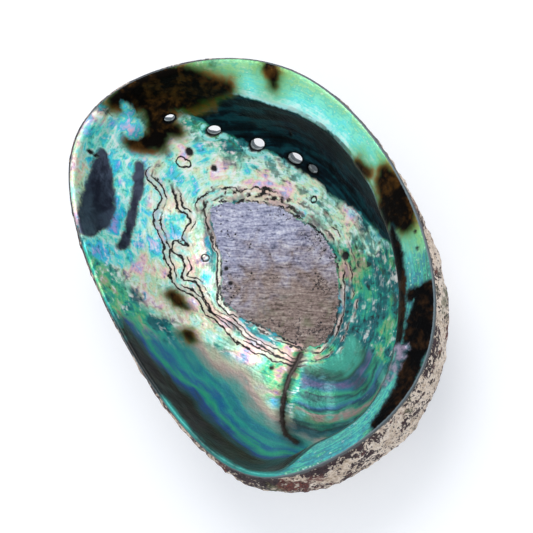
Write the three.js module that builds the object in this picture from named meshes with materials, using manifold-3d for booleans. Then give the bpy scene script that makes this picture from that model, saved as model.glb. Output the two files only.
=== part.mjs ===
import * as THREE from 'three';
import { mergeVertices } from 'three/addons/utils/BufferGeometryUtils.js';
import Module from 'manifold-3d';

// An abalone shell lying on its back, hollow side up. Millimetres, +Z up.
// +X is the front end, -X the spire end, -Y the side with the row of breathing holes and the
// broad shelf inside the rim, and +Y the thin outer lip.
// The origin is the middle of the small worn flat that the shell rests on.

// Size of the rim's outline, and how far the rim stands above the flat.
const LENGTH = 140;
const WIDTH = 100;
const DEPTH = 38;

// Middle of the outline, seen from the worn flat.
const OUTLINE_CENTRE = new THREE.Vector2(12, 2);

// The outline is an oval whose widest place is further back on the lip side than on the hole side,
// and whose two ends lean towards the lip.
const WIDEST_SHIFT = 10;
const WIDEST_LEAN = 15;
const FRONT_END_LEAN = 4;
const FRONT_LEAN_SHARPNESS = 6;
const SPIRE_END_LEAN = 8;
const SPIRE_LEAN_SHARPNESS = 2;

// The rim is this much lower at the front end, as a fraction of its height.
const FRONT_DIP = 0.03;

// Sections from the worn flat out to the rim, and from the rim down to the middle of the hollow.
// Each point is [reach, height]: reach 0 is over the origin and 1 is the rim's outline, and height 1
// is the top of the rim. The side, heel and back sections have the shelf, whose inner edge is their
// third inside point.
const OUTSIDE = {
  lip: [[0.2, 0], [0.38, 0.035], [0.57, 0.13], [0.75, 0.32], [0.89, 0.58], [0.97, 0.82], [1, 0.97]],
  side: [[0.2, 0], [0.38, 0.035], [0.56, 0.13], [0.71, 0.31], [0.86, 0.57], [0.96, 0.8], [1, 0.97]],
  heel: [[0.2, 0], [0.4, 0.03], [0.6, 0.11], [0.79, 0.26], [0.94, 0.48], [1.015, 0.74], [1, 0.97]],
  back: [[0.2, 0], [0.43, 0.03], [0.65, 0.1], [0.85, 0.23], [0.98, 0.45], [1.035, 0.72], [1, 0.97]],
};
const INSIDE = {
  lip: [
    [0.97, 1], [0.945, 0.9], [0.91, 0.77], [0.83, 0.57],
    [0.7, 0.36], [0.5, 0.19], [0.25, 0.12], [0, 0.1],
  ],
  side: [
    [0.97, 1], [0.89, 0.96], [0.8, 0.89], [0.775, 0.76],
    [0.73, 0.54], [0.61, 0.35], [0.32, 0.15], [0, 0.1],
  ],
  heel: [
    [0.97, 1], [0.86, 0.96], [0.74, 0.88], [0.755, 0.76],
    [0.78, 0.57], [0.69, 0.36], [0.37, 0.14], [0, 0.1],
  ],
  back: [
    [0.98, 1], [0.92, 0.96], [0.865, 0.9], [0.88, 0.78],
    [0.9, 0.58], [0.79, 0.35], [0.44, 0.14], [0, 0.1],
  ],
};

// Where each section fades into the next, in degrees of turn. Turns go clockwise from the front end,
// seen from above, so 90 is the hole side, 180 the spire end and 270 the outer lip. The shelf inside
// begins and ends within a short way, and the outside changes more gradually.
const INSIDE_FADES = { side: [22, 62], heel: [85, 135], back: [145, 195], lip: [208, 244] };
const OUTSIDE_FADES = { side: [5, 80], heel: [90, 140], back: [140, 185], lip: [200, 300] };

// The whorl of the spire: a shallow hollow inside and a low knob outside.
const SPIRE = new THREE.Vector2(-32, 18);
const SPIRE_RADIUS = 18;
const SPIRE_HOLLOW = 3;
const SPIRE_KNOB = 2.2;

// Breathing holes, from the newest near the front end back towards the spire:
// [turn, reach, length, width]. The older ones have grown shut.
const HOLES = [
  [16, 0.86, 3.6, 2.6],
  [27.5, 0.775, 4.6, 3.2],
  [42, 0.69, 5.4, 3.8],
  [59, 0.64, 5, 3.6],
  [68, 0.62, 3.8, 2.8],
];
const HOLE_SIDES = 16;
const HOLE_CUT_DEPTH = 18;

// How finely the surface is divided, and the small steps used to find and aim the holes.
const TURN_STEPS = 96;
const OUTSIDE_STEPS = 14;
const INSIDE_STEPS = 21;
const SEARCH_STEP = 0.005;
const AIM_STEP = 0.03;

// A point of the rim's outline, seen from above.
function rimPoint(turn) {
  const s = Math.sin(turn);
  const c = Math.cos(turn);
  const frontLean = FRONT_END_LEAN * ((1 + c) / 2) ** FRONT_LEAN_SHARPNESS;
  const spireLean = SPIRE_END_LEAN * ((1 - c) / 2) ** SPIRE_LEAN_SHARPNESS;
  const x = (LENGTH / 2) * c - (WIDEST_SHIFT - WIDEST_LEAN * s) * s * s;
  const y = (-WIDTH / 2) * s + frontLean + spireLean;
  return new THREE.Vector2(x, y).add(OUTLINE_CENTRE);
}

function rimHeight(turn) {
  return DEPTH * (1 - FRONT_DIP * (0.5 + 0.5 * Math.cos(turn)));
}

// How much of each section the shell has at one turn. The shares add up to 1.
function sectionShares(turn, fades) {
  const degrees = THREE.MathUtils.radToDeg(turn);
  const begun = (name) => THREE.MathUtils.smoothstep(degrees, ...fades[name]);
  return {
    lip: 1 - begun('side') + begun('lip'),
    side: begun('side') - begun('heel'),
    heel: begun('heel') - begun('back'),
    back: begun('back') - begun('lip'),
  };
}

// One skin of the shell: its section curves, where they fade into each other, and how far the whorl
// of the spire sinks it.
function skin(sections, fades, whorlDepth) {
  const curves = {};
  for (const [name, points] of Object.entries(sections)) {
    curves[name] = new THREE.SplineCurve(points.map(([reach, height]) => new THREE.Vector2(reach, height)));
  }
  return { curves, fades, whorlDepth };
}

const outside = skin(OUTSIDE, OUTSIDE_FADES, SPIRE_KNOB);
const inside = skin(INSIDE, INSIDE_FADES, SPIRE_HOLLOW);

// 1 at the middle of the spire's whorl, falling smoothly to 0 at its edge.
function whorl(x, y) {
  const distance = Math.hypot(x - SPIRE.x, y - SPIRE.y);
  return 1 - THREE.MathUtils.smoothstep(distance, 0, SPIRE_RADIUS);
}

// A point of one skin at one turn, t = 0..1 along the section.
function skinPoint({ curves, fades, whorlDepth }, turn, t) {
  const section = new THREE.Vector2();
  for (const [name, share] of Object.entries(sectionShares(turn, fades))) {
    section.addScaledVector(curves[name].getPoint(t), share);
  }
  const plan = rimPoint(turn).multiplyScalar(section.x);
  const height = section.y * rimHeight(turn) - whorlDepth * whorl(plan.x, plan.y);
  return new THREE.Vector3(plan.x, plan.y, height);
}

const outsidePoint = (turn, t) => skinPoint(outside, turn, t);
const insidePoint = (turn, t) => skinPoint(inside, turn, t);

// The whole skin as one grid: rings from the worn flat up the outside, over the rim and down the
// inside, closed by a point in the middle at each end.
function shellGeometry() {
  const rings = [];
  for (let i = 0; i <= OUTSIDE_STEPS; i += 1) {
    rings.push((turn) => outsidePoint(turn, i / OUTSIDE_STEPS));
  }
  for (let i = 0; i < INSIDE_STEPS; i += 1) {
    rings.push((turn) => insidePoint(turn, i / INSIDE_STEPS));
  }

  const positions = [];
  for (const ring of rings) {
    for (let k = 0; k < TURN_STEPS; k += 1) {
      positions.push(...ring((k / TURN_STEPS) * 2 * Math.PI).toArray());
    }
  }
  const flatMiddle = positions.length / 3;
  positions.push(0, 0, 0);
  const floorMiddle = flatMiddle + 1;
  positions.push(...insidePoint(0, 1).toArray());

  const faces = [];
  for (let k = 0; k < TURN_STEPS; k += 1) {
    const next = (k + 1) % TURN_STEPS;
    for (let r = 0; r < rings.length - 1; r += 1) {
      const here = r * TURN_STEPS;
      const above = here + TURN_STEPS;
      faces.push(here + k, above + k, above + next);
      faces.push(here + k, above + next, here + next);
    }
    const last = (rings.length - 1) * TURN_STEPS;
    faces.push(flatMiddle, k, next);
    faces.push(floorMiddle, last + next, last + k);
  }

  const geometry = new THREE.BufferGeometry();
  geometry.setAttribute('position', new THREE.Float32BufferAttribute(positions, 3));
  geometry.setIndex(faces);
  return geometry;
}

function reachOf(point, turn) {
  return Math.hypot(point.x, point.y) / rimPoint(turn).length();
}

// t along the inside section, counted from the middle of the hollow, where it first has this reach.
function insideTAtReach(turn, reach) {
  let t = 1;
  while (reachOf(insidePoint(turn, t), turn) < reach) {
    t -= SEARCH_STEP;
  }
  return t;
}

// An elliptical plug, square to the inside surface, with its long way along the row of holes.
function holeCutter([degrees, reach, length, width]) {
  const turn = THREE.MathUtils.degToRad(degrees);
  const t = insideTAtReach(turn, reach);
  const alongRow = insidePoint(turn + AIM_STEP, t).sub(insidePoint(turn - AIM_STEP, t)).normalize();
  const upSection = insidePoint(turn, t - AIM_STEP).sub(insidePoint(turn, t + AIM_STEP)).normalize();
  const outward = new THREE.Vector3().crossVectors(upSection, alongRow).normalize();
  const across = new THREE.Vector3().crossVectors(alongRow, outward);

  const geometry = new THREE.CylinderGeometry(0.5, 0.5, HOLE_CUT_DEPTH, HOLE_SIDES);
  geometry.scale(length, 1, width);
  geometry.applyMatrix4(new THREE.Matrix4().makeBasis(alongRow, outward, across));
  geometry.translate(...insidePoint(turn, t).toArray());
  return geometry;
}

const wasm = await Module();
wasm.setup();

function toSolid(geometry) {
  const bare = geometry.clone();
  bare.deleteAttribute('normal');
  bare.deleteAttribute('uv');
  const merged = mergeVertices(bare);
  return new wasm.Manifold(new wasm.Mesh({
    numProp: 3,
    vertProperties: new Float32Array(merged.attributes.position.array),
    triVerts: new Uint32Array(merged.index.array),
  }));
}

function toGeometry(solid) {
  const mesh = solid.getMesh();
  const geometry = new THREE.BufferGeometry();
  geometry.setAttribute('position', new THREE.Float32BufferAttribute(mesh.vertProperties, 3));
  geometry.setIndex(new THREE.Uint32BufferAttribute(mesh.triVerts, 1));
  geometry.computeVertexNormals();
  return geometry;
}

let solid = toSolid(shellGeometry());
for (const hole of HOLES) {
  solid = solid.subtract(toSolid(holeCutter(hole)));
}

const shell = new THREE.Mesh(
  toGeometry(solid),
  new THREE.MeshStandardMaterial({ color: 0x7fb8a8, roughness: 0.3, metalness: 0.2 }),
);
shell.name = 'shell';

const group = new THREE.Group();
group.add(shell);

export default group;
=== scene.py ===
"""An abalone shell on its back, hollow side up, with mother-of-pearl inside and a crust outside.

Everything is worked out in millimetres in the CAD part's frame, and the meshes are made in metres.
+X is the shell's front end, -X its spire end, -Y the side with the breathing holes and the shelf,
and +Y its outer lip. A turn goes clockwise from the front end, seen from above.
"""

import math

import bmesh
import bpy
import numpy as np
from mathutils import Matrix, Vector, kdtree, noise


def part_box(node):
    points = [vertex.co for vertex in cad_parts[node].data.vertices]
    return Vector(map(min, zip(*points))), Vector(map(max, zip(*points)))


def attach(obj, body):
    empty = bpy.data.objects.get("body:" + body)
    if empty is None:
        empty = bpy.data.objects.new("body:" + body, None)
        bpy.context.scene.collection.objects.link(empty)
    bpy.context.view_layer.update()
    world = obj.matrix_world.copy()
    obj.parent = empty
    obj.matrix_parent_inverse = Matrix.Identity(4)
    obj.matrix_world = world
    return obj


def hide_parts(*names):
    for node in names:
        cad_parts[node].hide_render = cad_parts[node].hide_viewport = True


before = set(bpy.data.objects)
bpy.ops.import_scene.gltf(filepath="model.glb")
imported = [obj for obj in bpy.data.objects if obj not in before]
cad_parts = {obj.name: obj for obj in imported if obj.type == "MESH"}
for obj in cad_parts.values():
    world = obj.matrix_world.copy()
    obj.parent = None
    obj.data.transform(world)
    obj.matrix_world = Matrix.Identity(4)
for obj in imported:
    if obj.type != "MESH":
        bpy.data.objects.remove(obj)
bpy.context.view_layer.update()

MM = 0.001

# ---- The shell's form, as in the CAD part ----

low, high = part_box("shell")
OUTLINE_CENTRE = np.array([12, 2])
LENGTH = 2 * (high.x / MM - OUTLINE_CENTRE[0])
WIDTH = LENGTH / 1.4
DEPTH = (high.z - low.z) / MM

WIDEST_SHIFT = 10
WIDEST_LEAN = 15
FRONT_END_LEAN = 4
FRONT_LEAN_SHARPNESS = 6
SPIRE_END_LEAN = 8
SPIRE_LEAN_SHARPNESS = 2
FRONT_DIP = 0.03

# Sections from the worn flat out to the rim, and from the rim in to the middle of the hollow.
# Points are [reach, height]: reach 1 is the rim's outline, and height 1 is the top of the rim.
FLAT = [[0, 0], [0.2, 0]]
OUTSIDE = {
    "lip": [[0.38, 0.035], [0.57, 0.13], [0.75, 0.32], [0.89, 0.58], [0.97, 0.82], [1, 0.97]],
    "side": [[0.38, 0.035], [0.56, 0.13], [0.71, 0.31], [0.86, 0.57], [0.96, 0.8], [1, 0.97]],
    "heel": [[0.4, 0.03], [0.6, 0.11], [0.79, 0.26], [0.94, 0.48], [1.015, 0.74], [1, 0.97]],
    "back": [[0.43, 0.03], [0.65, 0.1], [0.85, 0.23], [0.98, 0.45], [1.035, 0.72], [1, 0.97]],
}
INSIDE = {
    "lip": [[0.97, 1], [0.945, 0.9], [0.91, 0.77], [0.83, 0.57], [0.7, 0.36], [0.5, 0.19], [0.25, 0.12]],
    "side": [[0.97, 1], [0.89, 0.96], [0.8, 0.89], [0.775, 0.76], [0.73, 0.54], [0.61, 0.35], [0.32, 0.15]],
    "heel": [[0.97, 1], [0.86, 0.96], [0.74, 0.88], [0.755, 0.76], [0.78, 0.57], [0.69, 0.36], [0.37, 0.14]],
    "back": [[0.98, 1], [0.92, 0.96], [0.865, 0.9], [0.88, 0.78], [0.9, 0.58], [0.79, 0.35], [0.44, 0.14]],
}
HOLLOW_MIDDLE = [[0, 0.1]]
SECTIONS = {name: FLAT + OUTSIDE[name] + INSIDE[name] + HOLLOW_MIDDLE for name in OUTSIDE}

# A place counts the points of a section, from 0 under the middle to 15 in the hollow's middle.
RIM_PLACE = 7.5
SHELF_EDGE_PLACE = 10
LAST_PLACE = 15

INSIDE_FADES = {"side": (22, 62), "heel": (85, 135), "back": (145, 195), "lip": (208, 244)}
OUTSIDE_FADES = {"side": (5, 80), "heel": (90, 140), "back": (140, 185), "lip": (200, 300)}

SPIRE = np.array([-32, 18])
SPIRE_RADIUS = 18
SPIRE_HOLLOW = 3
SPIRE_KNOB = 2.2

# [turn, reach, length, width] of the open breathing holes, newest first.
HOLES = [
    [16, 0.86, 3.6, 2.6],
    [27.5, 0.775, 4.6, 3.2],
    [42, 0.69, 5.4, 3.8],
    [59, 0.64, 5, 3.6],
    [68, 0.62, 3.8, 2.8],
]
HOLE_CUT_DEPTH = 18
HOLE_SIDES = 28

# How much wider the holes grow with each millimetre outwards, as a share of their size.
HOLE_FLARE = 0.1

# Places tried for a hole's middle, and the steps of turn and place that aim the hole.
SEARCH_POINTS = 400
AIM_TURN = 0.03
AIM_PLACE = 0.2

# Cuts along each edge of the cube that the mesh is made from.
GRID_CUTS = 125

# The outline's average distance from the origin, as a share of its length.
AVERAGE_REACH = 0.42

# ---- Where the markings lie, in millimetres seen from above ----

# The muscle scar, and two lines round it where layers end.
SCAR = [
    (43.9, 3), (37.4, -5.2), (29.2, -10.7), (22, -12.8), (15.2, -14), (6.9, -13.6), (-0.1, -9.9),
    (-7.8, -3.1), (-12.8, 5.6), (-11.8, 11.3), (-3.4, 15.4), (5.9, 18.1), (12.3, 20.4), (20.3, 20),
    (28.9, 12.6), (36.3, 8.8),
]
OUTER_LINE = [
    (63, 9.8), (56, 11.4), (54.4, 14.6), (51.2, 18.5), (46.9, 20.4), (42.8, 22.8), (39.3, 24.7),
    (35.1, 26.8), (30.5, 28.1), (26.5, 26.4), (18.2, 26.9), (11.4, 27), (4.6, 26.6), (-2.7, 24),
    (-7.2, 22), (-13, 19), (-19, 8), (-12, -9), (0, -17), (20, -21), (40, -15), (56, -3), (63, 4),
]
MIDDLE_LINE = [
    (57, 6.6), (54, 8.3), (50, 11), (45.5, 10.7), (42.8, 15), (39.7, 16.6), (43, 18.4), (41.6, 20.9),
    (35, 21), (32.3, 24.4), (28.5, 23), (23.1, 24.4), (18, 25.4), (11.1, 24.1), (3, 23.5), (-5.9, 20.6),
    (-12.6, 17.6), (-16, 7), (-10, -7), (0, -14), (15, -18), (30, -15), (43, -8), (53, 0),
]
CREASE = [(-11, 15.5), (-12.8, 19), (-14.5, 23), (-18, 27.6), (-23.3, 32.2), (-29.3, 34.8), (-34.5, 34.3)]
WHORL_MIDDLE = (-16, 7)

# The scar's fine stripes lie square to this direction.
STRIPE_DIRECTION = (0.67, -0.74, 0)

# The dark area between the shelf and the holes ends inwards at these reaches: (turn, reach).
# Its colour is partly the wall's own dark colour and partly painted shade.
DARK_ENDS = [
    (8, 0.96), (15, 0.9), (21, 0.86), (30, 0.765), (36, 0.705), (45, 0.66), (60, 0.585), (77, 0.545),
    (90, 0.56), (101, 0.605), (110, 0.65), (125, 0.725), (150, 0.8), (180, 0.86), (200, 0.88),
]

# Patches are trails of joined rounds: (x, y, radius).
BROWN_PATCHES = [
    [
        (79, 1.5, 1.6), (77.5, -3, 3), (74.5, -8, 4.4), (70.5, -14, 5), (66, -18.5, 4.2), (61, -22, 2.6),
        (56, -26, 1.2),
    ],
    [(76, -5, 2), (72, -7, 4), (69, -4, 3.6), (67, 0.5, 2.6), (69.5, 4.5, 2), (71, 7, 1)],
    [(68, -3, 2), (65, -6, 1.6)],
    [(49, -39, 1.9), (46, -38, 1.7), (43.8, -35.8, 1.1)],
    [(6.5, -35.6, 1.3), (2, -36, 1)],
    [(-2.5, -39.5, 1.6), (-5, -38, 3.2), (-10, -36.5, 4.8), (-15, -34, 4.8), (-18.5, -33, 2.8)],
    [(-10, -33, 3), (-13, -30, 1.8)],
    [(29, 30.5, 1), (26, 30.6, 1.1), (23.4, 30, 0.4)],
    [(15.8, 35.3, 1.1), (13.4, 35.6, 0.6)],
]
BLACK_PATCHES = [
    [(-38.5, -24.6, 1.8), (-35.5, -19.5, 1.8)],
    [(-40.5, -20.5, 4), (-44.5, -15, 5), (-48.5, -8.5, 4.2), (-52, -3, 3)],
    [(-51, -5, 3), (-54.5, 2, 2.6), (-55.6, 8, 2.2), (-56.2, 13.5, 1.8)],
    [
        (-15.5, -29.5, 0.7), (-18.5, -27.5, 1.3), (-23, -25, 1.6), (-29, -19.5, 2), (-35, -13.5, 2.4),
        (-41, -7, 2.2),
    ],
]
SLATE_PATCHES = [
    [(73, 14.4, 0.6), (70.6, 17.6, 1.7), (66, 22.4, 2.7), (61.5, 27, 3.1), (57.6, 31, 2.6), (54, 35, 1.4)],
    [(65.8, 9.6, 1), (62.6, 13.4, 1.3), (59, 18.3, 0.9), (55, 23, 1), (51.5, 27, 0.8), (48.6, 30.6, 1.2)],
]
# Rounds: (x, y, radius).
PITS = [
    (59.1, -4.1, 1), (51, -5.9, 0.8), (74, 17.3, 0.5), (72.9, 16.9, 0.4), (1.3, -15, 1.1),
    (26.5, 13.2, 0.5), (22, 15.5, 0.5), (36, -29.5, 0.4), (-8, 24.5, 0.4), (-23, -33, 0.4), (-27, -30, 0.4),
]
OUTLINED_SPOTS = [(59, -0.1, 1.5), (57.6, -1.2, 1), (33.5, 15.5, 1.1), (20.5, -20.5, 0.9)]

# Raised lumps of mother-of-pearl: (x, y, radius, height).
BLISTERS = [
    (73.4, 3.2, 3.6, 1.2), (75.8, 0, 1.8, 0.7), (-43.4, -5.6, 2, 0.7), (-45.6, -7.4, 1.7, 0.9),
    (-46.4, -4.6, 2.2, 0.7), (-47.2, -1.6, 2.4, 1), (-48.2, 1.6, 1.6, 0.6), (-48.6, 4.2, 1.2, 0.4),
]

# Where the mother-of-pearl is pale, and where it leans to blue and lilac: (x, y, radius).
PALE_AREAS = [
    (72, 12, 13), (62, 26, 12), (52, 20, 15), (42, 24, 14), (30, 28, 13), (15, 29, 9), (0, 26, 7),
    (60, -2, 9), (50, -2, 11), (38, -14, 10), (24, -20, 10), (8, -21, 8), (-4, -23, 5),
]
BLUE_AREAS = [(73, 12, 9), (66, 16, 9), (60, 22, 9), (53, 28, 9), (47, 34, 7), (71, 3, 6), (-20, 33, 7)]

# Degrees of turn through which something comes in, from the first to the second, and goes out again,
# from the third to the fourth. The hole side's are counted from -180 to 180.
LIP_SIDE_TURNS = (228, 246, 353, 358)
HOLE_SIDE_TURNS = (-10, -4, 45, 80)
REAR_TURNS = (50, 90, 222, 236)
LIP_BAND_TURNS = (204, 228, 286, 306)
WHORL_BAND_TURNS = (160, 178, 229, 249)

# The bands of colour: how wide they are, where the whorl's begin, and how far and through which turns
# the lip's move outwards.
LIP_BANDS_WIDTH = 40
LIP_BANDS_SHIFT = 0.25
LIP_SHIFT_TURNS = (270, 300)
WHORL_BANDS_START = 8
WHORL_BANDS_WIDTH = 20

# The dark area's last turn, and how far it comes in with each degree from its front and rear ends.
DARK_LAST_TURN = 210
DARK_FRONT_SLOPE = 0.8
DARK_REAR_SLOPE = 0.3

# The shelf begins at this share of its sections and widens by this much for the whole share, and it
# narrows by this much where it dies out towards the lip.
SHELF_START = 0.1
SHELF_WIDENING = 30
SHELF_TAPER = 13

# Brown patches stop within this distance below the shelf's inner edge.
BROWN_STOP = 4

# The share of a blister's radius that is coloured.
BLISTER_CORE = 0.85

# A distance that is too far from any breathing hole to matter.
FAR_FROM_HOLES = 50.0

# A point this near a breathing hole's edge is on its wall.
ON_HOLE_WALL = 0.25


# ---- Curves and distances ----

def smoothstep(value, start, end):
    t = np.clip((value - start) / (end - start), 0, 1)
    return t * t * (3 - 2 * t)


def come_and_go(value, start, full, fading, gone):
    """0 up to the start, 1 between full and fading, and 0 again past gone."""
    return smoothstep(value, start, full) * (1 - smoothstep(value, fading, gone))


def catmull_rom(points, place):
    """A smooth curve through the points, read at places counted in points."""
    points = np.asarray(points, float)
    last = len(points) - 1
    i = np.clip(np.floor(place).astype(int), 0, last - 1)
    t = (place - i)[:, None]
    p0, p1, p2, p3 = (points[np.clip(i + k, 0, last)] for k in (-1, 0, 1, 2))
    v1 = (p2 - p0) / 2
    v2 = (p3 - p1) / 2
    return (2 * p1 - 2 * p2 + v1 + v2) * t**3 + (3 * p2 - 3 * p1 - 2 * v1 - v2) * t**2 + v1 * t + p1


def smooth_path(points, closed=False, steps=6):
    """More points along a smooth curve through these ones."""
    points = np.asarray(points, float)
    count = len(points)
    if closed:
        padded = np.concatenate([points[-2:], points, points[:3]])
        return catmull_rom(padded, 2 + np.arange(count * steps + 1) / steps)
    return catmull_rom(points, np.arange((count - 1) * steps + 1) / steps)


def beside_stretch(x, y, start, end):
    """The part of a straight stretch, from 0 to 1, that each point is nearest to, and how near."""
    dx, dy = end[0] - start[0], end[1] - start[1]
    t = np.clip(((x - start[0]) * dx + (y - start[1]) * dy) / (dx * dx + dy * dy), 0, 1)
    return t, np.hypot(x - start[0] - t * dx, y - start[1] - t * dy)


def path_distance(x, y, path):
    """Distance from each point to the nearest stretch of a path."""
    nearest = np.full(len(x), np.inf)
    for start, end in zip(path[:-1], path[1:]):
        nearest = np.minimum(nearest, beside_stretch(x, y, start, end)[1])
    return nearest


def depth_inside(x, y, path):
    """Distance to a closed path, positive inside it."""
    crossings = np.zeros(len(x), int)
    for (ax, ay), (bx, by) in zip(path[:-1], path[1:]):
        spans = (ay > y) != (by > y)
        crossings += spans & (x < ax + (y - ay) * (bx - ax) / (by - ay if by != ay else 1))
    return path_distance(x, y, path) * np.where(crossings % 2 == 1, 1, -1)


def disc_depth(x, y, discs):
    """Depth inside any of the discs, negative outside them."""
    depth = np.full(len(x), -np.inf)
    for disc_x, disc_y, radius in discs:
        depth = np.maximum(depth, radius - np.hypot(x - disc_x, y - disc_y))
    return depth


def trail_depth(x, y, trails):
    """Depth inside trails of joined rounds, negative outside them."""
    depth = np.full(len(x), -np.inf)
    for trail in trails:
        for start, end in zip(trail[:-1], trail[1:]):
            t, distance = beside_stretch(x, y, start, end)
            depth = np.maximum(depth, start[2] + (end[2] - start[2]) * t - distance)
    return depth


def disc_glow(x, y, discs):
    """1 well inside joined discs, falling smoothly to 0 outside them."""
    dark = np.ones(len(x))
    for disc_x, disc_y, radius in discs:
        reached = np.hypot(x - disc_x, y - disc_y) / radius
        dark = dark * (1 - np.exp(-(reached**2) * 1.4))
    return 1 - dark


# ---- The skin of the shell ----

def rim_point(turn):
    s = np.sin(turn)
    c = np.cos(turn)
    front_lean = FRONT_END_LEAN * ((1 + c) / 2) ** FRONT_LEAN_SHARPNESS
    spire_lean = SPIRE_END_LEAN * ((1 - c) / 2) ** SPIRE_LEAN_SHARPNESS
    x = LENGTH / 2 * c - (WIDEST_SHIFT - WIDEST_LEAN * s) * s * s + OUTLINE_CENTRE[0]
    y = -WIDTH / 2 * s + front_lean + spire_lean + OUTLINE_CENTRE[1]
    return x, y


def rim_height(turn):
    return DEPTH * (1 - FRONT_DIP * (0.5 + 0.5 * np.cos(turn)))


def section_shares(turn, fades):
    """How much of each section the shell has at each turn. The shares add up to 1."""
    degrees = np.degrees(turn) % 360
    begun = {name: smoothstep(degrees, *fades[name]) for name in fades}
    return {
        "lip": 1 - begun["side"] + begun["lip"],
        "side": begun["side"] - begun["heel"],
        "heel": begun["heel"] - begun["back"],
        "back": begun["back"] - begun["lip"],
    }


def surface(turn, place):
    """Points of the shell's whole skin, in millimetres."""
    is_inside = smoothstep(place, RIM_PLACE - 0.5, RIM_PLACE + 0.5)
    outer = section_shares(turn, OUTSIDE_FADES)
    inner = section_shares(turn, INSIDE_FADES)
    section = 0
    for name, points in SECTIONS.items():
        share = outer[name] * (1 - is_inside) + inner[name] * is_inside
        section = section + share[:, None] * catmull_rom(points, place)
    rim_x, rim_y = rim_point(turn)
    x = rim_x * section[:, 0]
    y = rim_y * section[:, 0]
    sunk = SPIRE_KNOB * (1 - is_inside) + SPIRE_HOLLOW * is_inside
    whorl = 1 - smoothstep(np.hypot(x - SPIRE[0], y - SPIRE[1]), 0, SPIRE_RADIUS)
    z = section[:, 1] * rim_height(turn) - sunk * whorl
    return np.column_stack([x, y, np.maximum(z, 0)])


def place_from_latitude(latitude):
    """Places along the section for latitudes -90 (under the middle) to 90 (the hollow's middle),
    spaced by the length of the average section."""
    average = np.mean(list(SECTIONS.values()), axis=0) * [LENGTH * AVERAGE_REACH, DEPTH]
    steps = np.hypot(*np.diff(average, axis=0).T)
    along = np.concatenate([[0], np.cumsum(steps)])
    places = np.arange(LAST_PLACE + 1)
    rim_along = np.interp(RIM_PLACE, places, along)
    outside_along = rim_along * (latitude + 90) / 90
    inside_along = rim_along + (along[-1] - rim_along) * latitude / 90
    return np.interp(np.where(latitude < 0, outside_along, inside_along), along, places)


def along_table():
    """Millimetres along the sections at whole degrees of turn and tenths of a place."""
    degrees, places = np.meshgrid(np.arange(361), np.arange(LAST_PLACE * 10 + 1) / 10, indexing="ij")
    points = surface(np.radians(degrees.ravel()), places.ravel()).reshape(361, -1, 3)
    steps = np.linalg.norm(np.diff(points, axis=1), axis=2)
    return np.concatenate([np.zeros((361, 1)), np.cumsum(steps, axis=1)], axis=1)


ALONG = along_table()


def millimetres_along(turn, place):
    """Millimetres along the section at each turn, from under the middle to one place or a list."""
    degrees = np.degrees(turn) % 360
    row = np.clip(degrees.astype(int), 0, 359)
    tenth = np.clip(np.floor(place * 10).astype(int), 0, LAST_PLACE * 10 - 1)
    u = degrees - row
    v = place * 10 - tenth
    near = ALONG[row, tenth] * (1 - v) + ALONG[row, tenth + 1] * v
    far = ALONG[row + 1, tenth] * (1 - v) + ALONG[row + 1, tenth + 1] * v
    return near * (1 - u) + far * u


# ---- The mesh ----

def even_ball(cuts):
    """A ball of even four-sided faces: a cube's faces cut into grids and pushed out."""
    ball = bmesh.new()
    bmesh.ops.create_cube(ball, size=2)
    bmesh.ops.subdivide_edges(ball, edges=ball.edges[:], cuts=cuts, use_grid_fill=True)
    mesh = bpy.data.meshes.new("shell")
    ball.to_mesh(mesh)
    ball.free()
    return mesh


def read_numbers(items, name):
    numbers = np.empty(len(items), int)
    items.foreach_get(name, numbers)
    return numbers


def read_vectors(items, name):
    vectors = np.empty(len(items) * 3)
    items.foreach_get(name, vectors)
    return vectors.reshape(-1, 3)


def write_points(mesh, points):
    mesh.vertices.foreach_set("co", points.astype(np.float32).ravel())
    mesh.update()


def add_object(name, contents):
    added = bpy.data.objects.new(name, contents)
    bpy.context.scene.collection.objects.link(added)
    return added


def hole_frame(degrees, reach):
    """The middle of a hole on the inside skin, with its directions along the row and outwards."""
    turn = math.radians(degrees)
    places = np.linspace(LAST_PLACE, SHELF_EDGE_PLACE, SEARCH_POINTS)
    points = surface(np.full(SEARCH_POINTS, turn), places)
    reaches = np.hypot(points[:, 0], points[:, 1]) / math.hypot(*rim_point(turn))
    place = places[np.argmax(reaches >= reach)]
    beside = surface(np.array([turn - AIM_TURN, turn + AIM_TURN]), np.array([place, place]))
    above = surface(np.array([turn, turn]), np.array([place - AIM_PLACE, place + AIM_PLACE]))
    along = Vector(beside[1] - beside[0]).normalized()
    up = Vector(above[0] - above[1]).normalized()
    outward = up.cross(along).normalized()
    return Vector(surface(np.array([turn]), np.array([place]))[0]), along, outward


def hole_cutters():
    """One elliptical plug for each breathing hole, square to the inside skin."""
    plugs = bmesh.new()
    for degrees, reach, length, width in HOLES:
        middle, along, outward = hole_frame(degrees, reach)
        axes = Matrix((along, outward.cross(along), outward)).transposed().to_4x4()
        size = Matrix.Diagonal((length, width, HOLE_CUT_DEPTH, 1))
        flare = HOLE_FLARE * HOLE_CUT_DEPTH / 4
        bmesh.ops.create_cone(
            plugs, cap_ends=True, segments=HOLE_SIDES, radius1=0.5 - flare, radius2=0.5 + flare, depth=1,
            matrix=Matrix.Scale(MM, 4) @ Matrix.Translation(middle) @ axes @ size,
        )
    mesh = bpy.data.meshes.new("plugs")
    plugs.to_mesh(mesh)
    plugs.free()
    return add_object("plugs", mesh)


def cut_holes(piece):
    plugs = hole_cutters()
    cut = piece.modifiers.new("holes", "BOOLEAN")
    cut.operation = "DIFFERENCE"
    cut.solver = "EXACT"
    cut.object = plugs
    evaluated = piece.evaluated_get(bpy.context.evaluated_depsgraph_get())
    mesh = bpy.data.meshes.new_from_object(evaluated)
    piece.modifiers.clear()
    piece.data = mesh
    bpy.data.objects.remove(plugs)
    return mesh


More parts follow.
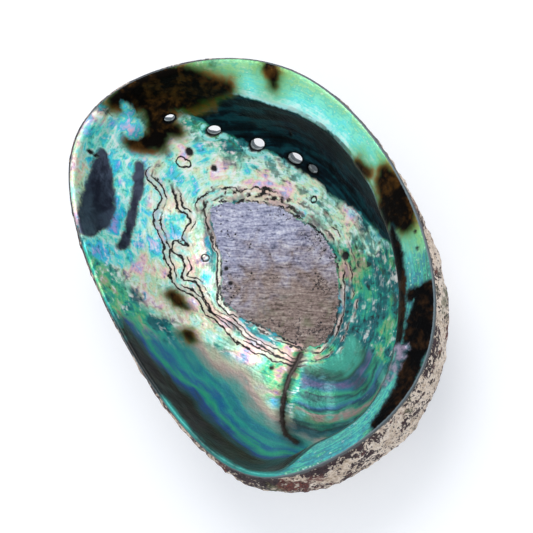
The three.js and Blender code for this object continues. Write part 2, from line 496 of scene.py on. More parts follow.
def nearest_values(known_points, values, points):
    """The values at the nearest known point of each point."""
    tree = kdtree.KDTree(len(known_points))
    for index, point in enumerate(known_points):
        tree.insert(point, index)
    tree.balance()
    nearest = [tree.find(point)[1] for point in points]
    return values[nearest]


def lumps(points, size, octaves=3, seed=0.0):
    """Noise of about -1 to 1 at each point, in lumps of this many millimetres."""
    offset = Vector((seed, seed * 1.7, seed * 2.3))
    return np.array([noise.fractal(Vector(p) / size + offset, 0.6, 2.0, octaves) for p in points])


mesh = even_ball(GRID_CUTS)
ball = np.tan(read_vectors(mesh.vertices, "co") * math.pi / 4)
ball /= np.linalg.norm(ball, axis=1)[:, None]
ball_turn = np.arctan2(-ball[:, 1], ball[:, 0])
ball_place = place_from_latitude(np.degrees(np.arcsin(np.clip(ball[:, 2], -1, 1))))
ball_points = surface(ball_turn, ball_place)
write_points(mesh, ball_points * MM)

shell = add_object("abalone_shell", mesh)
mesh = cut_holes(shell)

points = read_vectors(mesh.vertices, "co") / MM
x, y, z = points.T
turn, place = nearest_values(ball_points, np.column_stack([ball_turn, ball_place]), points).T
degrees = np.degrees(turn) % 360
rim_reach = np.hypot(*rim_point(turn))
reach = np.hypot(x, y) / rim_reach

# ---- Fields for the relief and the materials ----

# Millimetres from the rim's crest, positive inside.
inward = millimetres_along(turn, place) - millimetres_along(turn, RIM_PLACE)
is_inside = place > RIM_PLACE

# Millimetres out from the shelf's inner edge. The shelf is where this is still positive after it
# has tapered off towards the lip, and it fades in from the front end.
from_shelf_edge = millimetres_along(turn, SHELF_EDGE_PLACE) - millimetres_along(turn, place)
has_shelf = 1 - section_shares(turn, INSIDE_FADES)["lip"]
taper = np.where(degrees > 180, SHELF_TAPER * (1 - has_shelf), 0)
shelf = np.minimum(from_shelf_edge - taper, (has_shelf - SHELF_START) * SHELF_WIDENING)

scar = depth_inside(x, y, smooth_path(SCAR, closed=True))
outer_line = depth_inside(x, y, smooth_path(OUTER_LINE, closed=True))
middle_line = depth_inside(x, y, smooth_path(MIDDLE_LINE, closed=True))
crease = path_distance(x, y, smooth_path(CREASE))
pits = disc_depth(x, y, PITS)


def from_holes(points):
    """Millimetres from the edge of the nearest breathing hole, and outwards along its wall."""
    hole = np.full(len(points), FAR_FROM_HOLES)
    wall = np.zeros(len(points))
    for hole_degrees, hole_reach, length, width in HOLES:
        middle, along, outward = hole_frame(hole_degrees, hole_reach)
        away = points - np.array(middle)
        u = away @ np.array(along)
        v = away @ np.array(outward.cross(along))
        w = away @ np.array(outward)
        size = math.sqrt(length * width) / 2
        flare = 1 + HOLE_FLARE * w
        from_edge = (np.hypot(u / (length / 2), v / (width / 2)) - flare) * size
        from_edge = np.where(np.abs(w) < HOLE_CUT_DEPTH / 2, from_edge, FAR_FROM_HOLES)
        wall = np.where(np.abs(from_edge) < ON_HOLE_WALL, w, wall)
        hole = np.minimum(hole, from_edge)
    return hole, wall


def growth_at(x, y):
    """Growth, from 0 at the spire to 1 at the rim."""
    rim_x, rim_y = rim_point(np.radians(np.arange(361)))
    rim_angle = np.arctan2(rim_y - SPIRE[1], rim_x - SPIRE[0])
    rim_distance = np.hypot(rim_x - SPIRE[0], rim_y - SPIRE[1])
    angle = np.arctan2(y - SPIRE[1], x - SPIRE[0])
    distance = np.hypot(x - SPIRE[0], y - SPIRE[1])
    return distance / np.interp(angle, rim_angle, rim_distance, period=2 * np.pi)


hole, hole_wall = from_holes(points)
growth = growth_at(x, y)

# ---- The relief ----

away_from_rim = smoothstep(np.abs(inward), 0.3, 3)


def nacre_relief():
    """Soft waves, the raised scar, steps between layers, blisters, the crease, pits and hole rims."""
    height = 0.28 * lumps(points, 11, 2, 3.1) + 0.1 * lumps(points, 4, 2, 8.2)
    height *= smoothstep(-shelf, -2, 2) * 0.7 + 0.3
    height += 0.3 * smoothstep(scar, -0.6, 0.6)
    height += 0.16 * lumps(points, 1.3, 2, 5.5) * smoothstep(scar, -1, 1.5)
    for layer in (outer_line, middle_line, scar + 2):
        height -= 0.16 * smoothstep(layer + 1.4 * lumps(points, 7, 2, 1.4), -0.5, 0.5)
    for blister_x, blister_y, radius, rise in BLISTERS:
        height += rise * np.exp(-(((x - blister_x) ** 2 + (y - blister_y) ** 2) / radius**2) * 1.6)
    height += 0.5 * np.exp(-((crease / 1.3) ** 2))
    height -= 0.5 * smoothstep(pits, -0.4, 0.5)
    height += 0.35 * np.exp(-(((hole - 1) / 0.7) ** 2))
    return height


def crust_relief():
    """Lumps, growth ridges, pits, and raised rims round the holes."""
    height = 0.75 * lumps(points, 9, 3, 2.7) + 0.35 * lumps(points, 2.6, 3, 6.1)
    ridges = growth * 46 + 1.6 * lumps(points, 12, 2, 4.4)
    height += 0.28 * np.abs(np.sin(ridges)) * smoothstep(growth, 0.15, 0.4)
    height -= 0.7 * smoothstep(lumps(points, 1.9, 1, 9.3), 0.38, 0.62)
    height += 1.1 * np.exp(-(((hole - 1) / 1.1) ** 2))
    return height * smoothstep(z, 0.2, 3)


relief = np.where(is_inside, nacre_relief(), crust_relief()) * away_from_rim
relief *= smoothstep(hole, -0.6, 0.4)
raised = points + read_vectors(mesh.vertex_normals, "vector") * relief[:, None]
raised[:, 2] = np.maximum(raised[:, 2], 0)
write_points(mesh, raised * MM)


# ---- Fields for the materials alone ----

def dark_area():
    """Depth inside the dark area between the shelf and the holes, which is partly painted shade."""
    turns, reaches = np.array(DARK_ENDS).T
    above_row = (reach - np.interp(degrees, turns, reaches)) * rim_reach
    from_front = (degrees - turns[0]) * DARK_FRONT_SLOPE
    from_rear = (DARK_LAST_TURN - degrees) * DARK_REAR_SLOPE
    return np.minimum.reduce([above_row, -shelf, from_front, from_rear])


def brown_depth():
    """Depth inside the brown patches, which lie on the shelf and not below it."""
    below_shelf = has_shelf * smoothstep(-from_shelf_edge, 0, BROWN_STOP)
    return trail_depth(x, y, BROWN_PATCHES) - BROWN_STOP * below_shelf


def whorl_bands():
    """Bands of colour round the scar's rear corner, from 0 to 1."""
    from_middle = np.hypot(x - WHORL_MIDDLE[0], y - WHORL_MIDDLE[1])
    return (from_middle - WHORL_BANDS_START) / WHORL_BANDS_WIDTH


fields = dict(
    turn=degrees,
    inward=inward,
    growth=growth,
    shelf=shelf,
    from_shelf_edge=from_shelf_edge,
    shelf_share=smoothstep(has_shelf, 0, 1),
    crescent=dark_area(),
    scar=scar,
    outer_line=outer_line,
    middle_line=middle_line,
    crease=crease,
    on_lip_side=come_and_go(degrees, *LIP_SIDE_TURNS),
    on_hole_side=come_and_go((degrees + 180) % 360 - 180, *HOLE_SIDE_TURNS),
    at_rear=come_and_go(degrees, *REAR_TURNS),
    brown=brown_depth(),
    black=trail_depth(x, y, BLACK_PATCHES),
    slate=trail_depth(x, y, SLATE_PATCHES),
    pits=pits,
    outlined=disc_depth(x, y, OUTLINED_SPOTS),
    blister=disc_depth(x, y, [(bx, by, radius * BLISTER_CORE) for bx, by, radius, _ in BLISTERS]),
    pale=disc_glow(x, y, PALE_AREAS),
    blue=disc_glow(x, y, BLUE_AREAS),
    hole=hole,
    hole_wall=hole_wall,
    at_lip=come_and_go(degrees, *LIP_BAND_TURNS) * smoothstep(-scar, 9, 15),
    at_whorl=come_and_go(degrees, *WHORL_BAND_TURNS) * smoothstep(-scar, 3, 8),
    lip_band=inward / LIP_BANDS_WIDTH + LIP_BANDS_SHIFT * smoothstep(degrees, *LIP_SHIFT_TURNS),
    whorl_band=whorl_bands(),
)
for name, values in fields.items():
    attribute = mesh.attributes.new(name, "FLOAT", "POINT")
    attribute.data.foreach_set("value", values.astype(np.float32))


# ---- Materials ----

def linear(code):
    """A linear colour from a #rrggbb code."""
    channels = [int(code[i:i + 2], 16) / 255 for i in (1, 3, 5)]
    return [c / 12.92 if c <= 0.04045 else ((c + 0.055) / 1.055) ** 2.4 for c in channels] + [1]


class Field:
    """A node's output, which adds and multiplies like a number."""

    def __init__(self, graph, socket):
        self.graph = graph
        self.socket = socket

    def __add__(self, other):
        return self.graph.math("ADD", self, other)

    def __sub__(self, other):
        return self.graph.math("SUBTRACT", self, other)

    def __rsub__(self, other):
        return self.graph.math("SUBTRACT", other, self)

    def __mul__(self, other):
        return self.graph.math("MULTIPLY", self, other)

    def __truediv__(self, other):
        return self.graph.math("DIVIDE", self, other)

    def __neg__(self):
        return self * -1

    def __abs__(self):
        return self.graph.math("ABSOLUTE", self)

    __radd__ = __add__
    __rmul__ = __mul__


class Graph:
    """A material's nodes. Most calls add one and give back its output as a Field."""

    def __init__(self, name):
        self.material = bpy.data.materials.new(name)
        self.material.use_nodes = True
        self.nodes = self.material.node_tree.nodes
        self.links = self.material.node_tree.links
        self.shader = self.nodes["Principled BSDF"]
        coordinates = Field(self, self.nodes.new("ShaderNodeTexCoord").outputs["Object"])
        self.mm = self.vector("SCALE", coordinates, 1 / MM)

    def join(self, socket, value):
        if isinstance(value, Field):
            self.links.new(value.socket, socket)
        else:
            socket.default_value = value

    def shade(self, name, value):
        """Gives one of the shader's sockets its value."""
        self.join(self.shader.inputs[name], value)

    def math(self, operation, a, b=0.0):
        node = self.nodes.new("ShaderNodeMath")
        node.operation = operation
        self.join(node.inputs[0], a)
        self.join(node.inputs[1], b)
        return Field(self, node.outputs[0])

    def larger(self, a, b):
        return self.math("MAXIMUM", a, b)

    def vector(self, operation, a, b):
        """Vector maths, where b is a vector, or a plain number for the operation SCALE."""
        node = self.nodes.new("ShaderNodeVectorMath")
        node.operation = operation
        self.join(node.inputs[0], a)
        self.join(node.inputs["Scale" if operation == "SCALE" else 1], b)
        return Field(self, node.outputs["Value" if operation == "DOT_PRODUCT" else "Vector"])

    def field(self, name):
        """One of the mesh's fields."""
        node = self.nodes.new("ShaderNodeAttribute")
        node.attribute_name = name
        return Field(self, node.outputs["Fac"])

    def noise(self, size, detail=2.0, across=None, seed=0.0, distortion=0.0):
        """Noise of about -1 to 1 in lumps of this many millimetres. With a field across, it forms
        streaks along that field's level lines."""
        node = self.nodes.new("ShaderNodeTexNoise")
        node.noise_dimensions = "4D"
        self.join(node.inputs["Vector"], self.mm)
        self.join(node.inputs["W"], seed if across is None else across * size + seed)
        node.inputs["Scale"].default_value = 1 / size
        node.inputs["Detail"].default_value = detail
        node.inputs["Distortion"].default_value = distortion
        return (Field(self, node.outputs["Fac"]) - 0.5) * 4

    def cells(self, size, seed=0.0):
        """Distance from scattered points, 0 at them and about 1 between them."""
        node = self.nodes.new("ShaderNodeTexVoronoi")
        node.voronoi_dimensions = "4D"
        self.join(node.inputs["Vector"], self.mm)
        node.inputs["W"].default_value = seed
        node.inputs["Scale"].default_value = 1 / size
        return Field(self, node.outputs["Distance"])

    def step(self, value, start, end):
        """0 before the start and 1 past the end, with a smooth rise between."""
        node = self.nodes.new("ShaderNodeMapRange")
        node.interpolation_type = "SMOOTHSTEP"
        self.join(node.inputs["Value"], value)
        node.inputs["From Min"].default_value = start
        node.inputs["From Max"].default_value = end
        return Field(self, node.outputs["Result"])

    def line(self, value, level, width):
        """1 along the line where the value has this level, and 0 more than the width away."""
        return 1 - self.step(abs(value - level), width * 0.4, width)

    def ramp(self, value, colours):
        """Even steps through the colours as the value goes from 0 to 1."""
        node = self.nodes.new("ShaderNodeValToRGB")
        elements = node.color_ramp.elements
        for index, code in enumerate(colours):
            position = index / (len(colours) - 1)
            element = elements[index] if index < 2 else elements.new(position)
            element.position = position
            element.color = linear(code)
        self.join(node.inputs["Fac"], value)
        return Field(self, node.outputs["Color"])

    def cycle(self, value, colours):
        """The colours round and round, once for each whole number of the value."""
        return self.ramp(self.math("FRACT", value), colours + colours[:1])

    def mix(self, share, a, b, blend="MIX"):
        node = self.nodes.new("ShaderNodeMix")
        node.data_type = "RGBA"
        node.blend_type = blend
        self.join(node.inputs[0], share)
        self.join(node.inputs[6], linear(a) if isinstance(a, str) else a)
        self.join(node.inputs[7], linear(b) if isinstance(b, str) else b)
        return Field(self, node.outputs[2])

    def bump(self, height, distance):
        """Bumps, where a height of 1 is this many millimetres."""
        node = self.nodes.new("ShaderNodeBump")
        node.inputs["Distance"].default_value = distance * MM
        self.join(node.inputs["Height"], height)
        self.shade("Normal", Field(self, node.outputs["Normal"]))


PALE_PEARL = [
    "#d8faee", "#98f4e0", "#4fe4e0", "#4fcaee", "#a8d4f6", "#dcc8f2", "#fac4da", "#fcdccc", "#f0ecc8",
    "#c8f2c8",
]
BLUE_PEARL = [
    "#4fecee", "#2fccf2", "#58bcf4", "#a0b0f2", "#c0b4f0", "#5fd0f4", "#44e2e4", "#7ff0d8", "#b8faf0",
]
GREEN_PEARL = [
    "#16787a", "#1fa398", "#3fbf8e", "#86c98a", "#c4b094", "#b890a4", "#6f78b4", "#2f84ac", "#1f9c9e",
    "#0f5f68",
]
LIP_PEARL = [
    "#2f948c", "#0c2426", "#040505", "#030404", "#060705", "#141c0c", "#1c4a4c", "#1f4f90", "#27a67e",
    "#1f6a9c", "#2fa394", "#2a7f94", "#3f9c94", "#7f9c94", "#b4a098", "#c0c4a8", "#c4e4cc",
]
WHORL_PEARL = [
    "#4fc0a8", "#3f8f78", "#2a5a54", "#3a6a8c", "#7a6c9c", "#2a86a0", "#3fbc90", "#1a5a62", "#37b09c",
    "#3a78a8", "#205468", "#3fa484", "#cc9c98", "#5fa47c", "#2a8878", "#123c48", "#1f6a74",
]
SHELF_PEARL = ["#ccfcf4", "#9cf6ea", "#62e6e0", "#8cf2d4", "#54d6ce", "#a8eebc", "#62d0b8", "#7ec494"]
REAR_SHELF_PEARL = ["#3aa89c", "#1f7c84", "#57c4a4", "#2f94a0", "#2a6c84", "#48b48c", "#1c5c64", "#3f9c8c"]
DARK_WALL_AND_SHADE = ["#010203", "#04090e", "#081a22", "#124048", "#0a2432", "#03070a"]
LILAC_SCAR = ["#26283a", "#747894", "#a4a4c0", "#cccce0", "#eceaf6"]
BROWN_SCAR = ["#2c2220", "#64534c", "#8a7670", "#a5928a", "#c8b8b0"]
PALE_CRUST = ["#6a5a4a", "#b09a84", "#dccab8", "#efe2d4", "#c4a498"]
DARK_CRUST = ["#0c080b", "#1f1418", "#38242a", "#5a4040"]


def nacre_material():
    g = Graph("nacre")
    scar = g.field("scar")
    broad = g.noise(17, 2, seed=1)
    middle = g.noise(5.5, 3, seed=2, distortion=0.8)
    small = g.noise(2, 4, seed=3, distortion=0.6)
    fine = g.noise(0.8, 3, seed=4)
    streaks = g.noise(8, 3, across=scar / 1.2, seed=5)

    colour = pearl_colour(g, broad, middle, small, streaks)
    colour = banded_colour(g, colour, middle, small)
    colour = shelf_colour(g, colour, small, middle, fine)
    colour, in_crescent = crescent_colour(g, colour, small, middle)
    colour, in_patch = dark_patches(g, colour, small, middle, fine)
    colour = contour_lines(g, colour, scar, small, fine)
    colour, in_scar = scar_colour(g, colour, scar, small, middle, fine)
    colour = small_marks(g, colour, small, fine)
    edge = g.step(g.field("inward") + fine * 0.1 - g.field("at_rear") * 0.35, 0.25, 0)
    colour = g.mix(edge, colour, "#66747a")
    g.shade("Base Color", colour)

    dark = g.larger(in_crescent, in_patch)
    matt = g.larger(in_scar, edge)
    g.shade("Roughness", 0.33 + matt * 0.22)
    g.shade("Metallic", 0.4 + dark * 0.5 - matt * 0.3)
    g.shade("Coat Weight", 0.2 - g.larger(dark, matt) * 0.2)
    g.shade("Coat Roughness", 0.12)
    g.shade("Specular IOR Level", 0.3)
    g.bump(small * 0.12 + fine * 0.1 + streaks * 0.12 + in_scar * fine * 0.35, 0.35)
    return g.material


def pearl_colour(g, broad, middle, small, streaks):
    """Iridescent mottling: green over most of the floor, paler and bluer towards the front, with
    random painted highlights and painted shade for its sheen, painted shade towards the rear, and
    painted pink highlights and grey-green painted shade beside the row of holes."""
    threads = g.noise(3.5, 3, across=g.field("scar") / 0.45, seed=6)
    phase = broad * 0.4 + middle * 0.28 + small * 0.07 + streaks * 0.12 + threads * 0.03
    green = g.cycle(phase + 0.1, GREEN_PEARL)
    pale = g.cycle(phase * 1.4 + 0.9, PALE_PEARL)
    blue = g.cycle(phase * 1.3 - 0.05, BLUE_PEARL)
    ragged = middle * 0.14 + small * 0.12 + streaks * 0.08
    in_pale = g.step(g.field("pale") + ragged, 0.3, 0.7)
    colour = g.mix(in_pale, green, pale)
    colour = g.mix(g.step(g.field("blue") + ragged, 0.45, 0.7), colour, blue)
    # Random pale and dark mottling: painted highlights and painted shade standing in for the pearl's
    # shifting sheen.
    light = small * 0.8 + streaks * 0.25 + threads * 0.35 - middle * 0.3
    grain = small * 0.5 + g.noise(0.9, 3, seed=8) * 0.7 + threads * 0.3
    colour = g.mix(g.step(-grain, 0, 1.1) * 0.8, colour, "#4f9aa4", "MULTIPLY")
    colour = g.mix(g.step(light + in_pale * 0.2, 0.15, 1) * 0.9, colour, "#fdfffc")
    # Painted shade towards the rear, less where the pearl is pale.
    shade = g.field("at_rear") * (0.22 - in_pale * 0.22)
    dark = g.step(-light + shade, 0.25, 1.2) * (0.9 - in_pale * 0.45)
    colour = g.mix(dark + shade, colour, "#06262c")
    # Beside the row of holes: painted pink highlights and painted grey-green shade.
    beside_holes = g.step(abs(g.field("crescent") + 5), 6, 2)
    colour = g.mix(beside_holes * g.step(light - middle * 0.4, 0.1, 0.9) * 0.6, colour, "#fbe6e4")
    return g.mix(beside_holes * g.step(middle - light * 0.6, 0, 0.6) * 0.7, colour, "#33443c")


def banded_colour(g, colour, middle, small):
    """Smooth bands of colour along the lip and round the spire's hollow."""
    along = g.noise(24, 2, across=g.field("inward") / 2.4, seed=31)
    swirls = g.noise(11, 2, seed=35)
    lip = g.field("lip_band") + swirls * 0.05 + middle * 0.02 + along * 0.05 + small * 0.01
    ragged_lip = g.field("at_lip") + swirls * 0.3 + middle * 0.2 + small * 0.1
    in_lip = g.step(ragged_lip, 0.25, 0.75) * g.step(lip, 1.08, 0.9)
    colour = g.mix(in_lip, colour, g.ramp(lip, LIP_PEARL))
    arcs = g.noise(20, 2, across=g.field("whorl_band") * 11, seed=32)
    whorl = g.field("whorl_band") + swirls * 0.1 + middle * 0.05 + arcs * 0.07 + small * 0.012
    ragged_whorl = g.field("at_whorl") + arcs * 0.15 + middle * 0.15 + small * 0.1
    in_whorl = g.step(ragged_whorl, 0.3, 0.8) * g.step(whorl, 1.2, 1)
    colour = g.mix(in_whorl * 0.92, colour, g.ramp(whorl, WHORL_PEARL))
    colour = g.mix(in_whorl * 0.5, colour, "#8fa4a8", "MULTIPLY")
    threads = g.noise(10, 3, across=g.field("whorl_band") * 26 + swirls, seed=36)
    colour = g.mix(g.step(threads + small * 0.3, 0.5, 1.3) * in_whorl * 0.45, colour, "#a4e0d4")
    colour = g.mix(g.step(-threads - small * 0.3, 0.5, 1.2) * in_whorl * 0.6, colour, "#0e2c30")
    colour = g.mix(g.step(arcs + middle * 0.3, 0.4, 1.3) * in_whorl * 0.6, colour, "#0c2a34")
    colour = g.mix(g.step(swirls + middle * 0.5, 0.2, 1.2) * in_whorl * 0.5, colour, "#74dcd4")
    return g.mix(g.step(-swirls - middle * 0.5, 0.3, 1.2) * in_whorl * 0.55, colour, "#1c3a2c")


def shelf_colour(g, colour, small, middle, fine):
    """The bright band inside the rim, duller at the rear, with a painted shadow under its inner edge and a
    painted dark line along that edge at the rear.
    """
    shelf, depth = g.field("shelf"), g.field("from_shelf_edge")
    along = g.noise(9, 3, across=depth / 0.9, seed=33)
    place = depth / 15 + small * 0.16 + middle * 0.16 + fine * 0.08 + along * 0.2
    pearl = g.ramp(place, SHELF_PEARL)
    rear = g.step(abs(g.field("turn") - 185) + middle * 6, 70, 50)
    rear_pearl = g.cycle(place * 0.8 + along * 0.15 + 0.1, REAR_SHELF_PEARL)
    pearl = g.mix(g.step(shelf + middle * 2, 5, 11) * 0.5, pearl, "#8fc878")
    pearl = g.mix(rear * 0.92, pearl, rear_pearl)
    specks = 1 - g.step(g.cells(1.5, 12) + fine * 0.05, 0.1, 0.2)
    pearl = g.mix(specks * g.step(small + middle, 0, 0.6) * 0.7, pearl, "#1c4a46")
    pearl = g.mix(g.step(fine + along * 0.5, 0.4, 1.1) * 0.4, pearl, "#f0fff6")
    share = g.step(g.field("shelf_share") + middle * 0.3 + small * 0.2, 0.1, 0.8)
    # Painted shadow: a dark line just below the shelf's inner edge, where its overhang casts shade.
    colour = g.mix(g.line(shelf, -1, 1) * share, colour, "#060c0c")
    colour = g.mix(g.step(shelf + fine * 0.1 + small * 0.2, -0.5, 0.4) * share, colour, pearl)
    # Painted shadow: a dark line on the shelf's own inner edge at the rear.
    rear_edge_shadow = g.line(shelf + small * 0.1, 0.6, 1) * g.field("at_rear")
    return g.mix(rear_edge_shadow * share * 0.8, colour, "#0a1a1c")


def crescent_colour(g, colour, small, middle):
    """The dark wall between the shelf and the breathing holes: partly its own dark sea colour and partly
    painted shade.
    """
    depth = g.field("crescent") + middle * 1.2 + small * 0.7
    along = g.noise(15, 3, across=g.field("inward") / 2, seed=34)
    # Dark blues and greens: partly the wall's own colour and partly painted shade.
    wall_and_shade = g.ramp(0.42 + middle * 0.18 + along * 0.34 + small * 0.06, DARK_WALL_AND_SHADE)
    # Painted highlight: a bright line along the dark area's lower edge, beside the holes.
    painted_shore_highlight = g.line(depth, -1, 1.4) * g.step(small + along, -0.2, 0.8)
    beside_holes = g.step(g.field("turn"), 130, 100)
    colour = g.mix(painted_shore_highlight * beside_holes * 0.85, colour, "#b4f4f2")
    share = g.step(depth, -0.3, 1.2)
    return g.mix(share, colour, wall_and_shade), share


def dark_patches(g, colour, small, middle, fine):
    """Brown, near-black and slate patches with amber and olive edges."""
    slate = g.field("slate") + middle * 0.4 + small * 0.4 + fine * 0.15
    colour = g.mix(g.step(slate, -0.7, 0) * 0.7, colour, "#5f5a4c")
    in_slate = g.step(slate, -0.3, 0.3)
    slate_tone = g.mix(g.step(middle + small * 0.4, -0.8, 0.8), "#242638", "#4a5468")
    colour = g.mix(in_slate, colour, slate_tone)

    brown = g.field("brown") + middle * 0.8 + small * 0.25
    amber = g.mix(g.step(middle + small * 0.4, -0.5, 0.7), "#44601c", "#8a6010")
    halo = g.step(brown, -8, -1) * g.step(g.field("shelf"), 0, 1) * 0.6
    colour = g.mix(halo, colour, "#6fa84c")
    colour = g.mix(g.step(brown, -3, 0.2) * 0.95, colour, amber)
    in_brown = g.step(brown, -1.4, 1)
    brown_tone = g.mix(g.step(middle + small * 0.5, -0.3, 1), "#080503", "#4a3010")
    colour = g.mix(in_brown, colour, brown_tone)

    black = g.field("black") + middle * 0.6 + small * 0.5 + fine * 0.15
    colour = g.mix(g.step(black, -1.3, 0.2) * 0.9, colour, "#12343a")
    in_black = g.step(black, -0.4, 0.6)
    black_tone = g.mix(g.step(small * 0.5 + middle, -0.2, 1), "#040405", "#352212")
    colour = g.mix(in_black, colour, black_tone)
    return colour, g.larger(in_slate * 0.5, g.larger(in_brown, in_black))


def contour_lines(g, colour, scar, small, fine):
    """Dark wavy lines with pale borders round the scar, where layers of mother-of-pearl end."""
    waves = g.noise(5, 2, seed=11)
    wiggle = waves * 0.9 + small * 0.45 + fine * 0.12
    other_wiggle = waves * 0.7 - small * 0.4 + fine * 0.12
    broken = g.noise(7, 2, seed=12)
    strokes = g.noise(3, 2, seed=13)
    lip_side, hole_side, rear = (g.field(name) for name in ("on_lip_side", "on_hole_side", "at_rear"))
    outer, middle = g.field("outer_line"), g.field("middle_line")
    lines = [
        (outer + wiggle, 0.4, lip_side),
        (outer + other_wiggle - 1.5, 0.32, lip_side * g.step(broken, -0.7, -0.2)),
        (middle + wiggle, 0.45, lip_side),
        (middle + other_wiggle - 1.5, 0.32, lip_side * g.step(broken, 0.4, -0.1)),
        (scar + wiggle + 1.4, 0.4, lip_side * g.step(broken, -0.5, 0)),
        (scar + wiggle + 1.8, 0.4, rear * g.step(broken, -0.2, 0.3)),
        (scar + other_wiggle + 3, 0.32, rear * g.step(broken, 0.1, -0.4)),
        (scar + wiggle + 4.2, 0.3, rear * g.step(waves, -0.1, 0.4)),
        (scar + other_wiggle + 6.4, 0.26, rear * g.step(waves, 0, -0.5)),
        (scar + wiggle * 1.3 + 1.2, 0.9, hole_side * g.step(strokes, -0.1, 0.3)),
        (scar - wiggle * 1.3 + 2.6, 0.9, hole_side * g.step(strokes, 0.1, -0.3)),
        (scar + wiggle * 1.6 + 4.2, 0.5, hole_side * g.step(broken, 0, 0.4)),
    ]
    for level, width, shown in lines:
        colour = g.mix(g.line(level - width, 0, width * 3) * shown * 0.5, colour, "#ecc4b8")
    for level, width, shown in lines:
        colour = g.mix(g.line(level, 0, width) * shown, colour, "#0e0c0b")
    return colour


def scar_colour(g, colour, scar, small, middle, fine):
    """The muscle scar: lavender grey turning brown, with fine wavy stripes and dark pits."""
    across = g.vector("DOT_PRODUCT", g.mm, STRIPE_DIRECTION) + small * 0.35
    stripes = g.noise(4, 2, across=across / 0.55, seed=7)
    tone = 0.55 + stripes * 0.36 + small * 0.18 + fine * 0.24
    lilac = g.ramp(tone, LILAC_SCAR)
    brown = g.ramp(tone, BROWN_SCAR)
    rearward = 0.55 - g.field("growth") + middle * 0.1
    scar_tone = g.mix(g.step(rearward, -0.05, 0.2), lilac, brown)
    greenish = g.step(rearward + small * 0.05, 0.1, 0.2) * g.step(-middle, 0, 0.8)
    scar_tone = g.mix(greenish * 0.4, scar_tone, "#6a7a52")
    specks = 1 - g.step(g.cells(1.2, 2) + small * 0.08, 0.22, 0.34)
    near_edge = g.step(scar, 9, 1) * 0.7
    scar_tone = g.mix(specks * g.step(middle + small * 0.5 + near_edge, 0, 0.6), scar_tone, "#0e0e18")
    cracked = g.step(middle - g.field("growth") + near_edge, -0.1, 0.3)
    scar_tone = g.mix(g.line(small - fine * 0.3, 0.3, 0.14) * cracked * 0.8, scar_tone, "#1a1620")
    border = scar + small * 0.6 + fine * 0.3
    colour = g.mix(g.line(border, -0.3, 0.5) * g.step(small + middle, -0.4, 0.3), colour, "#100f14")
    share = g.step(border, -0.2, 0.2)
    return g.mix(share, colour, scar_tone), share


def small_marks(g, colour, small, fine):
    """The crease with a band of painted shade beside it, blisters, outlined spots, pits, and the edges
    and walls of the holes, with a painted highlight below each hole and its walls painted pale as
    painted light.
    """
    crease = g.field("crease") + small * 0.35 + fine * 0.1
    # Painted shade: a soft dark band along the crease; then the crease's own dark brown line along it.
    colour = g.mix(g.step(crease, 3.2, 0.8) * 0.6, colour, "#2a2826")
    colour = g.mix(g.step(crease, 1.2, 0.4), colour, "#1e120b")
    blister = g.field("blister") + small * 0.15
    lump = g.cycle(blister * 0.1 + small * 0.35 + 0.15, PALE_PEARL)
    rear_lump = g.mix(g.step(small + blister * 0.3, -0.4, 0.8), "#2c5660", "#a090a6")
    lump = g.mix(g.field("at_rear"), lump, rear_lump)
    colour = g.mix(g.step(blister + small * 0.3, -0.7, 0.6) * 0.9, colour, lump)
    outlined = g.field("outlined") + small * 0.4
    colour = g.mix(g.line(outlined, 0, 0.36), colour, "#121010")
    pits = g.field("pits") + fine * 0.15
    colour = g.mix(g.step(pits, -0.6, 0.1), colour, "#100c10")
    hole = g.field("hole") + fine * 0.2
    below = g.step(g.field("crescent"), 0.5, -0.5)
    # Painted highlight: a pale glint on the lower side of each hole, away from the brown patches.
    glint = g.line(hole, 1.6, 0.9) * below * g.step(g.field("brown"), 0, -4) * g.step(small, -0.5, 0.3)
    colour = g.mix(glint, colour, "#a8fcf6")
    colour = g.mix(g.step(hole, 0.9, 0.2), colour, "#04070a")
    # Painted light: the holes' walls are painted pale grey, so that the holes read bright.
    return g.mix(g.step(g.field("hole_wall"), 0.3, 1.2), colour, "#aab4b4")


def crust_material():
    g = Graph("crust")
    growth, inward = g.field("growth"), g.field("inward")
    broad = g.noise(24, 3, seed=21)
    middle = g.noise(6, 4, seed=22)
    small = g.noise(2, 4, seed=23)
    fine = g.noise(0.8, 3, seed=24)
    layers = g.noise(14, 2, across=growth * 22, seed=25)

    pale = g.ramp(0.55 + middle * 0.3 + fine * 0.35, PALE_CRUST)
    dark = g.ramp(0.5 + small * 0.3 + fine * 0.25, DARK_CRUST)
    cover = broad * 0.8 + middle * 0.55 + small * 0.8 + fine * 0.8 + layers * 0.3
    cover = cover - g.field("at_rear") * g.step(inward, -26, -14) * 0.25
    cover = cover + g.step(inward, -6, -1) * 0.3
    colour = g.mix(g.step(cover, -0.15, 0.3), pale, dark)
    red = g.step(g.noise(9, 3, seed=26) + small * 0.4 + broad * 0.3, 0.3, 0.8)
    colour = g.mix(red * 0.8, colour, g.mix(g.step(fine, -0.5, 0.8), "#4a1814", "#8a4636"))
    green = g.step(g.noise(12, 3, seed=27) + small * 0.4 - broad * 0.3, 0.35, 0.9)
    colour = g.mix(green * 0.7, colour, g.mix(g.step(fine + small, -0.5, 0.8), "#3c4430", "#7c8464"))
    specks = 1 - g.step(g.cells(1.1, 5), 0.18, 0.34)
    colour = g.mix(specks * 0.85, colour, "#17120f")
    flecks = 1 - g.step(g.cells(1.4, 9), 0.16, 0.3)
    colour = g.mix(flecks * 0.7, colour, "#cfc2ab")
    colour = g.mix(g.step(g.field("hole"), 0.8, 0.1), colour, "#1c1613")
    edge = g.step(inward + small * 0.3 + g.field("at_rear") * 0.35, -0.6, -0.1)
    colour = g.mix(edge, colour, "#565c5e")
    g.shade("Base Color", colour)
    g.shade("Roughness", 0.8 - fine * 0.06)
    g.bump(small * 0.25 + fine * 0.3 + layers * 0.15 - specks * 0.4, 1.1)
    return g.material


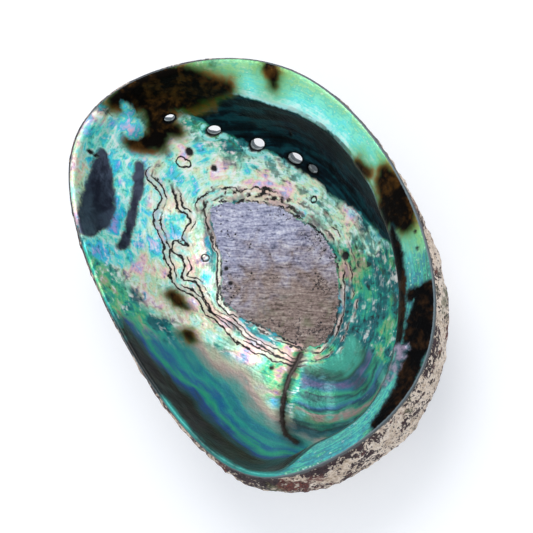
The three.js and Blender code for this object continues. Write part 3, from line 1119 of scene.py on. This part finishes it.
def assign_materials(mesh):
    """Mother-of-pearl on the faces inside the rim and in the holes, and crust on the others."""
    mesh.materials.clear()
    mesh.materials.append(nacre_material())
    mesh.materials.append(crust_material())
    corner_start = read_numbers(mesh.polygons, "loop_start")
    corner_vertex = read_numbers(mesh.loops, "vertex_index")
    face_inward = np.add.reduceat(inward[corner_vertex], corner_start)
    face_from_hole = np.maximum.reduceat(np.abs(hole[corner_vertex]), corner_start)
    is_nacre = (face_inward > 0) | (face_from_hole < ON_HOLE_WALL)
    mesh.polygons.foreach_set("material_index", np.where(is_nacre, 0, 1).astype(np.int32))
    mesh.shade_smooth()
    mesh.update()


assign_materials(mesh)

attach(shell, "root")
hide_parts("shell")

# ---- Floor, lights and camera ----

VIEW_ELEVATION = math.radians(65)
VIEW_ROLL = math.radians(-45)
CAMERA_DISTANCE = 0.7
CAMERA_LENS = 158

FLOOR_CORNERS = [(-3, -3, 0), (3, -3, 0), (3, 3, 0), (-3, 3, 0)]
FLOOR_COLOUR = (0.6, 0.6, 0.6, 1)
FLOOR_GLOW = (0.87, 0.92, 1, 1)
FLOOR_GLOW_STRENGTH = 0.46

KEY_DIRECTION = (0.5, -0.5, 1.1)
KEY_SPREAD = 34
KEY_STRENGTH = 1.0
SKY = (0.93, 0.96, 1, 1)
SKY_STRENGTH = 0.92


def add_floor():
    floor_mesh = bpy.data.meshes.new("floor")
    floor_mesh.from_pydata(FLOOR_CORNERS, [], [(0, 1, 2, 3)])
    floor = add_object("floor", floor_mesh)
    material = bpy.data.materials.new("floor")
    material.use_nodes = True
    shader = material.node_tree.nodes["Principled BSDF"]
    shader.inputs["Base Color"].default_value = FLOOR_COLOUR
    shader.inputs["Roughness"].default_value = 0.8
    shader.inputs["Emission Color"].default_value = FLOOR_GLOW
    shader.inputs["Emission Strength"].default_value = FLOOR_GLOW_STRENGTH
    floor_mesh.materials.append(material)


def aim(direction, target, distance, roll=0.0):
    """A place and turn that looks back at the target along the direction, rolled about its view."""
    back = Vector(direction).normalized()
    right = Vector((0, 0, 1)).cross(back).normalized()
    up = back.cross(right)
    rolled_right = right * math.cos(roll) + up * math.sin(roll)
    rolled_up = up * math.cos(roll) - right * math.sin(roll)
    turned = Matrix((rolled_right, rolled_up, back)).transposed()
    return Matrix.LocRotScale(Vector(target) + back * distance, turned, None)


def add_lights():
    """One broad sun, and an even sky."""
    light = bpy.data.lights.new("key", "SUN")
    light.angle = math.radians(KEY_SPREAD)
    light.energy = KEY_STRENGTH
    add_object("key", light).matrix_world = aim(KEY_DIRECTION, view_middle, 1)
    world = bpy.data.worlds.new("studio")
    world.use_nodes = True
    sky = world.node_tree.nodes["Background"]
    sky.inputs["Color"].default_value = SKY
    sky.inputs["Strength"].default_value = SKY_STRENGTH
    bpy.context.scene.world = world


def add_camera():
    camera = bpy.data.cameras.new("camera")
    camera.lens = CAMERA_LENS
    eye = add_object("camera", camera)
    direction = (-math.cos(VIEW_ELEVATION), 0, math.sin(VIEW_ELEVATION))
    eye.matrix_world = aim(direction, view_middle, CAMERA_DISTANCE, VIEW_ROLL)
    bpy.context.scene.camera = eye


view_middle = (low + high) / 2
add_floor()
add_camera()
add_lights()
bpy.context.scene.view_settings.view_transform = "Standard"
